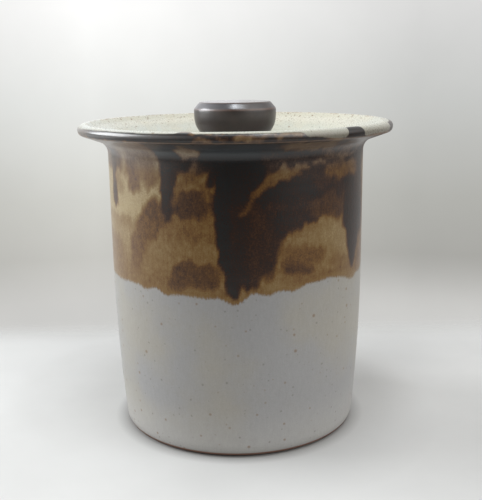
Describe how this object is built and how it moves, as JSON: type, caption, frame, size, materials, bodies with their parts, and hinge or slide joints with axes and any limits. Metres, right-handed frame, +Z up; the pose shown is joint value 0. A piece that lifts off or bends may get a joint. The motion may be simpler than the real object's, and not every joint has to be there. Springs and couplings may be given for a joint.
{
  "type": "stoneware bean pot",
  "caption": "Wheel-thrown stoneware bean pot with a wide flared rim and a lift-off inset lid with a round button knob, for slow baking and serving.",
  "frame": {"origin": "centre of the foot, on the surface the pot stands on", "axes": "+Z up along the pot's turning axis, -Y towards the side with the brown glaze's lowest run"},
  "size_m": [0.2, 0.2, 0.2093],
  "materials": {
    "pot_glaze": "satin grey-white speckled glaze below, brown and amber runny iron glaze over the upper half and the rim's edge, cream speckled inside the rim, bare clay foot ring",
    "lid_glaze": "cream-white speckled satin glaze, bare clay where the lid rests on its ledge",
    "knob_glaze": "dark brown-black iron glaze, satin, breaking rust brown along the edges"
  },
  "bodies": {
    "pot": {"pot": "pot_glaze"},
    "lid": {"lid": "lid_glaze", "knob": "knob_glaze"}
  },
  "joints": [
    {"name": "lid_lift", "type": "slide", "parent": "pot", "child": "lid", "axis": [0, 0, 1], "range_m": [0, 0.06]}
  ]
}
